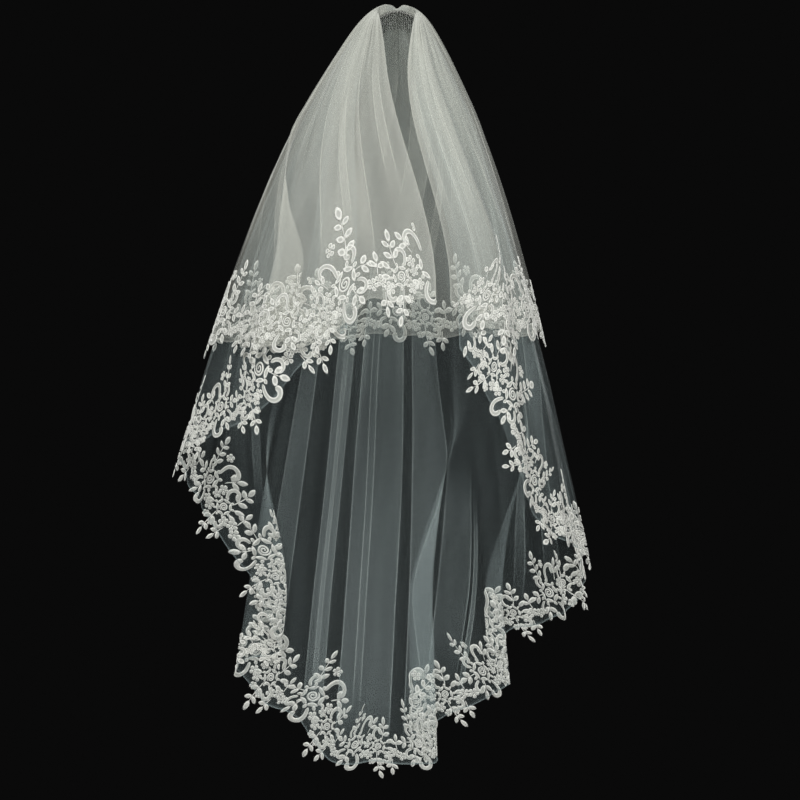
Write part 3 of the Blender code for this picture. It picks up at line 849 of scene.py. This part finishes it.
def comb_tubes():
    """Spine and teeth of the comb, each a tube with rounded ends."""
    tilt = math.radians(TOOTH_TILT)
    tooth_way = np.array([0.0, math.sin(tilt), -math.cos(tilt)])
    face_way = np.array([0.0, math.cos(tilt), math.sin(tilt)])
    share = np.linspace(-1.0, 1.0, SPINE_ROWS) * SPINE_REACH
    line = comb_arch(share)
    along = np.gradient(line, axis=0)
    along = along / np.linalg.norm(along, axis=1, keepdims=True)
    face = np.broadcast_to(face_way, line.shape)
    ends = np.abs(share / SPINE_END) ** SPINE_END_POWER
    ends = np.sqrt(np.clip(1.0 - ends, 0.15, 1.0))
    face_radius, side_radius = (radius * ends for radius in SPINE_RADII)
    tubes = [tube(line, np.cross(face, along), face, side_radius, face_radius, SPINE_SIDES)]
    down = np.linspace(0.0, 1.0, TOOTH_ROWS)
    reach = TOOTH_START + (TOOTH_LENGTH + SPINE_RADII[1] - TOOTH_LAP) * down
    radius = TOOTH_ROOT + (TOOTH_TIP - TOOTH_ROOT) * down
    radius = radius * np.sqrt(np.clip(1.0 - down ** TOOTH_END_POWER, 0.1, 1.0))
    for tooth in range(TOOTH_COUNT):
        place = -1.0 + (2.0 * tooth + 0.5) * 2.0 / (2 * TOOTH_COUNT - 1)
        line = comb_arch(np.array(place)) + reach[:, None] * tooth_way
        across = np.broadcast_to(ACROSS, line.shape)
        face = np.broadcast_to(-face_way, line.shape)
        tubes.append(tube(line, across, face, radius, radius * TOOTH_FLATNESS, TOOTH_SIDES))
    return tubes


def stitch_tubes():
    """Whip stitches: rings of thread round the spine and the gathered edge over it."""
    turn = 2.0 * math.pi * np.arange(STITCH_ROWS) / STITCH_ROWS
    thin = np.full(STITCH_ROWS, THREAD_RADIUS)
    tubes = []
    for stitch in range(STITCH_COUNT):
        share = STITCH_REACH * (2.0 * stitch / (STITCH_COUNT - 1) - 1.0)
        centre = comb_arch(np.array(share)) + STITCH_LIFT * UP
        lean = STITCH_LEAN * math.sin(5.0 * stitch)
        ring = np.stack([
            lean * np.cos(turn), STITCH_RADII[0] * np.cos(turn), STITCH_RADII[1] * np.sin(turn)
        ], axis=1)
        out = ring / np.linalg.norm(ring, axis=1, keepdims=True)
        across = np.broadcast_to(ACROSS, ring.shape)
        tubes.append(tube(centre + ring, across, out, thin, thin, THREAD_SIDES, ring=True))
    return tubes


# ==== materials
def operation(kind, turned=False):
    """Method that adds a Math node to a wire and another value, which comes first if turned."""
    def method(self, other):
        return self.board.maths(kind, *((other, self) if turned else (self, other)))
    return method


class Wire:
    """An output socket on which Python's operators add Math nodes."""

    __add__, __radd__ = operation("ADD"), operation("ADD", True)
    __sub__, __rsub__ = operation("SUBTRACT"), operation("SUBTRACT", True)
    __mul__, __rmul__ = operation("MULTIPLY"), operation("MULTIPLY", True)
    __truediv__, __rtruediv__ = operation("DIVIDE"), operation("DIVIDE", True)
    __pow__, __rpow__ = operation("POWER"), operation("POWER", True)

    def __init__(self, board, socket):
        self.board = board
        self.socket = socket

    def held_in(self, low, high):
        """The wire kept between two numbers."""
        return self.board.maths("MINIMUM", self.board.maths("MAXIMUM", self, low), high)


class Board:
    """A material's nodes, with its Principled shader ready to take values and wires."""

    def __init__(self, name):
        self.material = bpy.data.materials.new(name)
        self.material.use_nodes = True
        self.tree = self.material.node_tree
        self.shader = self.tree.nodes["Principled BSDF"]

    def put(self, socket, value):
        """Link a wire to a socket, or set the socket's own value."""
        if isinstance(value, Wire):
            self.tree.links.new(value.socket, socket)
        else:
            socket.default_value = value

    def node(self, kind, output, settings=None, **inputs):
        """Wire from a new node, with its settings first and then its sockets' values or wires."""
        made = self.tree.nodes.new(kind)
        for key, value in (settings or {}).items():
            setattr(made, key, value)
        for key, value in inputs.items():
            self.put(made.inputs[int(key[1:]) if key[0] == "_" else key], value)
        return Wire(self, made.outputs[output])

    def maths(self, operation, *values):
        """Math node on wires or numbers."""
        inputs = {f"_{index}": value for index, value in enumerate(values)}
        return self.node("ShaderNodeMath", 0, {"operation": operation}, **inputs)

    def value(self, name):
        """A vertex value of the piece."""
        return self.node("ShaderNodeAttribute", "Fac", {"attribute_name": name})

    def flat_place(self):
        """The two coordinates of the flat cloth, in metres."""
        place = self.node("ShaderNodeUVMap", 0, {"uv_map": FLAT_MAP})
        return tuple(self.node("ShaderNodeSeparateXYZ", axis, Vector=place) for axis in "XY")

    def object_place(self):
        """Object coordinates of the piece."""
        return self.node("ShaderNodeTexCoord", "Object")

    def noise(self, scale, detail, vector):
        """Noise from 0 to 1."""
        return self.node("ShaderNodeTexNoise", "Fac", Vector=vector, Scale=scale, Detail=detail)

    def mixed(self, share, first, second):
        """Colour between two colours, each a wire or three numbers."""
        first, second = (c if isinstance(c, Wire) else (*c, 1.0) for c in (first, second))
        return self.node("ShaderNodeMix", 2, {"data_type": "RGBA"}, _0=share, _6=first, _7=second)

    def bumped(self, height, strength, distance):
        """Normal that follows a height."""
        inputs = {"Strength": strength, "Distance": distance, "Height": height}
        return self.node("ShaderNodeBump", 0, **inputs)

    def finish(self, **sockets):
        """Set the shader's sockets by name, with _ for a space."""
        for key, value in sockets.items():
            self.put(self.shader.inputs[key.replace("_", " ")], value)
        return self.material


def net_pattern(board, x, y, cell):
    """Hexagonal net from -1.5 to 3 over 3: the sum of three cosines 60 degrees apart."""
    turn = 2.0 * math.pi / cell
    slanted = y * (turn * math.sqrt(0.75))
    half = x * (0.5 * turn)
    first, second, third = (
        board.maths("COSINE", wire) for wire in (x * turn, half + slanted, half - slanted))
    return (first + second + third) * (1.0 / 3.0)


def tulle_material(settings, name, cover, warmth):
    """Sheer net: the more cloth is gathered at a place, the less shows through it."""
    board = Board(name)
    x, y = board.flat_place()
    # near is 1 at the crest and fades with the drop; it thins the folds' noise and the net
    # pattern, and it masks the painted crown shade
    near = board.maths("EXPONENT", y * (1.0 / settings.fold_fade))
    run = board.node("ShaderNodeCombineXYZ", 0, X=x * 13.0, Y=y * 1.1)
    wide = (board.noise(1.0, 1.0, run) - 0.5) * (0.5 + 0.7 * near)
    fine = (board.noise(3.4, 0.0, run) - 0.5) * (0.3 - 0.15 * near)
    fullness = board.value("fullness") * (1.0 + wide + fine).held_in(0.25, 3.0)
    net = net_pattern(board, x, y, settings.net_cell) * (1.0 - 1.6 * near).held_in(0.0, 1.0)
    gathered = 1.0 - (1.0 - cover) ** fullness
    cut = board.maths("EXPONENT", board.value("edge") * -EDGE_FADE) * settings.edge_cover
    alpha = gathered * (1.0 + NET_CONTRAST * net) + cut
    warm = (fullness * 0.03 + (warmth - 0.03)).held_in(0.0, 1.0)
    colour = board.mixed(warm, settings.tulle_colour, settings.gathered_colour)
    return board.finish(
        # Painted shade: the net darkens towards the crest by near squared, standing in for the
        # shade deep in the crown's gathers
        Base_Color=board.mixed(near * near * 0.75, colour, settings.crown_painted_shade_colour),
        Roughness=0.62,
        Alpha=alpha.held_in(0.0, 0.96),
        Normal=board.bumped(net / fullness, 0.2, 0.0002),
        Sheen_Weight=settings.sheen,
        Sheen_Roughness=0.35,
        Specular_IOR_Level=0.25,
    )


def lace_material(settings):
    """Corded lace: satin cord round the edge of each form and a duller filled middle, with a
    painted highlight on the raised cord and painted relief shade in the middles.
    """
    board = Board("corded_lace")
    x, y = board.flat_place()
    cord = ((board.value("rim") - 0.40) * 4.0).held_in(0.0, 1.0)
    threads = board.maths("SINE", (x + y * 0.6) * CORD_TWIST) * 0.5 + 0.5
    filled = board.maths("SINE", (x * 0.7 - y) * FILLING_TWIST) * 0.5 + 0.5
    grain = board.noise(900.0, 2.0, board.object_place())
    # Painted highlight and shade: the mix runs to the light cord colour on the raised rim and to
    # the dark filling in the middles, partly the lace's own two tones
    shade = cord * (0.78 + 0.22 * threads) + (1.0 - cord) * (0.25 * filled)
    height = cord * threads * 0.5 + filled * (1.0 - cord) * 0.6 + grain * 0.3
    cover = settings.fill_cover + (1.0 - settings.fill_cover) * cord
    return board.finish(
        Base_Color=board.mixed(
            shade.held_in(0.0, 1.0), settings.fill_colour, settings.cord_colour),
        Roughness=0.62 - 0.14 * cord,
        Alpha=cover.held_in(0.0, 1.0),
        Normal=board.bumped(height, 0.5, 0.0003),
        Sheen_Weight=0.25,
        Sheen_Roughness=0.4,
        Specular_IOR_Level=0.35,
    )


def metal_material(settings):
    """Drawn steel: fine streaks along the wire and a little tarnish."""
    board = Board("comb_steel")
    place = board.object_place()
    drawn = board.node("ShaderNodeMapping", 0, Vector=place, Scale=(90.0, 900.0, 60.0))
    streaks = board.noise(6.0, 3.0, drawn)
    tarnish = board.noise(160.0, 3.0, place)
    return board.finish(
        Base_Color=board.mixed(tarnish, settings.metal_colour, (0.05, 0.05, 0.048)),
        Metallic=1.0,
        Roughness=0.26 + 0.16 * streaks,
        Normal=board.bumped(streaks, 0.15, 0.0001),
    )


def thread_material(settings):
    """Sewing thread: a soft grain in the lace's two colours."""
    board = Board("sewing_thread")
    grain = board.noise(2500.0, 2.0, board.object_place())
    return board.finish(
        Base_Color=board.mixed(grain, settings.fill_colour, settings.cord_colour),
        Roughness=0.6,
        Normal=board.bumped(grain, 0.4, 0.0001),
        Sheen_Weight=0.2,
    )


def floor_material(settings):
    """Matt painted floor with a faint mottle."""
    board = Board("stage_floor")
    mottle = board.noise(3.0, 4.0, board.object_place())
    tone = settings.floor_tone
    darker = (tone * 0.94, tone * 0.94, tone * 0.93)
    return board.finish(Base_Color=board.mixed(mottle, (tone, tone, tone), darker), Roughness=0.8)


# ==== settings
class VeilClothSettings(bpy.types.PropertyGroup):
    """Sizes and colours of the tulle."""

    upper_columns: IntProperty(
        name="Upper columns", description="Grid columns along the upper hem", default=520)
    upper_rows: IntProperty(
        name="Upper rows", description="Grid rows down the upper tier", default=64)
    lower_columns: IntProperty(
        name="Lower columns", description="Grid columns along the lower hem", default=400)
    lower_rows: IntProperty(
        name="Lower rows", description="Grid rows down the lower tier", default=80)
    net_cell: FloatProperty(
        name="Net cell", description="Width of one hole of the net", default=0.0015, unit="LENGTH")
    upper_cover: FloatProperty(
        name="Upper cover", description="Share of light that one face of the upper net stops",
        default=0.100, subtype="FACTOR")
    lower_cover: FloatProperty(
        name="Lower cover", description="Share of light that one face of the lower net stops",
        default=0.029, subtype="FACTOR")
    # fold_fade also sets how far below the crest the painted crown shade reaches
    fold_fade: FloatProperty(
        name="Fold fade", description="Drop over which the gathered folds thin out",
        default=0.26, unit="LENGTH")
    edge_cover: FloatProperty(
        name="Edge cover", description="Extra cover along a cut edge", default=0.30,
        subtype="FACTOR")
    most_fullness: FloatProperty(
        name="Most fullness", description="Most layers that the gathers count as", default=9.0)
    sheen: FloatProperty(
        name="Sheen", description="Sheen of the net at a flat angle", default=0.45,
        subtype="FACTOR")
    tulle_colour: FloatVectorProperty(
        name="Tulle", description="Colour of flat net", default=(0.49, 0.60, 0.60),
        subtype="COLOR")
    gathered_colour: FloatVectorProperty(
        name="Gathered tulle", description="Colour of gathered net", default=(0.71, 0.72, 0.64),
        subtype="COLOR")
    # Painted shade: a darker net colour mixed in near the crest, for the shade deep in the crown's
    # gathers
    crown_painted_shade_colour: FloatVectorProperty(
        name="Crown", description="Colour of the net deep in the gathers of the crown",
        default=(0.36, 0.372, 0.334), subtype="COLOR")


class VeilLaceSettings(bpy.types.PropertyGroup):
    """Sizes and colours of the lace."""

    lace_repeat: FloatProperty(
        name="Repeat", description="Length of hem from one large rose to the next",
        default=0.135, unit="LENGTH")
    # cord_colour and fill_colour differ partly as the lace's own cord and filling and partly as
    # painted light: a painted highlight on the raised cord, painted shade in the middles
    cord_colour: FloatVectorProperty(
        name="Cord", description="Colour of the raised cord", default=(0.80, 0.805, 0.75),
        subtype="COLOR")
    fill_colour: FloatVectorProperty(
        name="Filling", description="Colour inside the cord", default=(0.40, 0.41, 0.372),
        subtype="COLOR")
    fill_cover: FloatProperty(
        name="Filling cover", description="How much of what is behind the filling hides",
        default=0.94, subtype="FACTOR")


class VeilCombSettings(bpy.types.PropertyGroup):
    """Colour of the comb."""

    metal_colour: FloatVectorProperty(
        name="Metal", description="Colour of the comb's metal", default=(0.085, 0.085, 0.08),
        subtype="COLOR")


class VeilStageSettings(bpy.types.PropertyGroup):
    """Floor and light."""

    floor_tone: FloatProperty(
        name="Floor", description="Lightness of the floor", default=0.78, subtype="FACTOR")
    backdrop_tone: FloatProperty(
        name="Backdrop", description="Lightness of the dark room", default=0.0030,
        subtype="FACTOR")
    light_power: FloatProperty(
        name="Light", description="Share of the lamps' full power", default=1.0)


# ==== operators
class VEIL_OT_tulle(bpy.types.Operator):
    """Make both tiers of tulle"""

    bl_idname = "veil.tulle"
    bl_label = "Tulle tiers"

    def execute(self, context):
        cloth = context.scene.veil_cloth
        fine_net = tulle_material(cloth, "upper_net", cloth.upper_cover, UPPER_WARMTH)
        soft_net = tulle_material(cloth, "lower_net", cloth.lower_cover, LOWER_WARMTH)
        upper_grid = cloth.upper_columns, cloth.upper_rows
        lower_grid = cloth.lower_columns, cloth.lower_rows
        upper = make_sheet("upper_tulle", UPPER, *upper_grid, cloth, fine_net)
        lower = make_sheet("lower_tulle", LOWER, *lower_grid, cloth, soft_net)
        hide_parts("upper_tier")
        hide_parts("lower_tier")
        return {"FINISHED"}


class VEIL_OT_lace(bpy.types.Operator):
    """Make the lace edging of both tiers"""

    bl_idname = "veil.lace"
    bl_label = "Lace edging"

    def execute(self, context):
        lace = context.scene.veil_lace
        material = lace_material(lace)
        for tier_name, tier in TIERS.items():
            for kind, shapes in LACE_KINDS.items():
                piece = make_lace(f"{tier_name}_lace_{kind}", tier, shapes(), lace, material)
                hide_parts(f"{tier_name}_lace")
        return {"FINISHED"}


class VEIL_OT_comb(bpy.types.Operator):
    """Make the comb and the stitches that hold the tulle on it"""

    bl_idname = "veil.comb"
    bl_label = "Comb"

    def execute(self, context):
        points, faces = joined(comb_tubes())
        comb = new_piece("hair_comb", points, faces, metal_material(context.scene.veil_comb), 40.0)
        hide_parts("comb")
        points, faces = joined(stitch_tubes())
        thread = thread_material(context.scene.veil_lace)
        stitches = new_piece("comb_stitches", points, faces, thread)
        return {"FINISHED"}


class VEIL_OT_cut(bpy.types.Operator):
    bl_idname = "veil.cut"
    bl_label = "Cut of the cloth"

    def execute(self, context):
        return {"FINISHED"}


class VEIL_OT_stage(bpy.types.Operator):
    """Make the floor, the camera and the soft studio light"""

    bl_idname = "veil.stage"
    bl_label = "Stage"

    def execute(self, context):
        scene = context.scene
        stage = scene.veil_stage
        turn = 2.0 * math.pi * np.arange(FLOOR_SIDES) / FLOOR_SIDES
        rim = np.stack([FLOOR_RADIUS * np.cos(turn), FLOOR_RADIUS * np.sin(turn),
                        np.full_like(turn, FLOOR_HEIGHT)], axis=1)
        mesh = bpy.data.meshes.new("floor")
        mesh.from_pydata(rim.tolist(), [], [tuple(range(len(turn)))])
        mesh.materials.append(floor_material(stage))
        floor = bpy.data.objects.new("floor", mesh)
        scene.collection.objects.link(floor)
        camera = bpy.data.objects.new("camera", bpy.data.cameras.new("camera"))
        camera.data.lens = CAMERA_LENS
        camera.data.clip_start, camera.data.clip_end = CAMERA_CLIP
        camera.location = CAMERA_PLACE
        camera.rotation_euler = (math.radians(90.0), 0.0, 0.0)
        scene.collection.objects.link(camera)
        scene.camera = camera
        for lamp in LAMPS:
            add_lamp(scene, stage.light_power, *lamp)
        world = bpy.data.worlds.new("dark room")
        world.use_nodes = True
        tone = stage.backdrop_tone
        world.node_tree.nodes["Background"].inputs[0].default_value = (tone, tone, tone, 1.0)
        scene.world = world
        scene.cycles.transparent_max_bounces = NET_BOUNCES
        scene.view_settings.view_transform = "Standard"
        return {"FINISHED"}


# Lamps: (name, place, aimed at, width, height, power in watts)
LAMPS = (
    ("key", (-1.7, -2.8, 1.3), (0.0, 0.0, -0.55), 1.6, 1.6, 92.0),
    ("fill", (2.1, -2.7, 0.3), (0.0, 0.0, -0.70), 1.8, 1.8, 56.0),
    ("front", (0.0, -3.6, -0.2), (0.0, 0.0, -0.80), 1.4, 1.4, 34.0),
    ("top", (0.0, 0.3, 1.6), (0.0, 0.0, -0.40), 1.2, 1.2, 26.0),
    ("back left", (-1.9, 2.2, 0.5), (0.0, 0.0, -0.65), 1.2, 1.6, 34.0),
    ("back right", (1.9, 2.2, 0.4), (0.0, 0.0, -0.65), 1.2, 1.6, 34.0),
)


def add_lamp(scene, share, name, place, target, width, height, power):
    """Soft rectangular lamp that looks from one place to another."""
    light = bpy.data.lights.new(name, "AREA")
    light.shape = "RECTANGLE"
    light.size, light.size_y = width, height
    light.energy = power * share
    lamp = bpy.data.objects.new(name, light)
    lamp.location = place
    way = np.array(target) - np.array(place)
    lamp.rotation_euler = (
        math.acos(-way[2] / np.linalg.norm(way)), 0.0, math.atan2(way[0], -way[1]) + math.pi
    )
    scene.collection.objects.link(lamp)


class VEIL_PT_panel(bpy.types.Panel):
    """Sizes, colours and makers of the veil"""

    bl_label = "Veil"
    bl_idname = "VEIL_PT_panel"
    bl_space_type = "VIEW_3D"
    bl_region_type = "UI"
    bl_category = "Veil"

    def draw(self, context):
        layout = self.layout
        for group in SETTINGS:
            settings = getattr(context.scene, group)
            box = layout.box()
            for name in settings.__annotations__:
                box.prop(settings, name)
        for operator in OPERATORS:
            layout.operator(operator.bl_idname)


SETTINGS = {
    "veil_cloth": VeilClothSettings,
    "veil_lace": VeilLaceSettings,
    "veil_comb": VeilCombSettings,
    "veil_stage": VeilStageSettings,
}
OPERATORS = (VEIL_OT_comb, VEIL_OT_tulle, VEIL_OT_lace, VEIL_OT_cut, VEIL_OT_stage)
CLASSES = (*SETTINGS.values(), *OPERATORS, VEIL_PT_panel)


def register():
    for item in CLASSES:
        bpy.utils.register_class(item)
    for name, settings in SETTINGS.items():
        setattr(bpy.types.Scene, name, PointerProperty(type=settings))


def unregister():
    for name in SETTINGS:
        delattr(bpy.types.Scene, name)
    for item in reversed(CLASSES):
        bpy.utils.unregister_class(item)


def main():
    register()
    bpy.ops.veil.comb()
    bpy.ops.veil.tulle()
    bpy.ops.veil.lace()
    bpy.ops.veil.cut()
    bpy.ops.veil.stage()


if __name__ == "__main__":
    main()
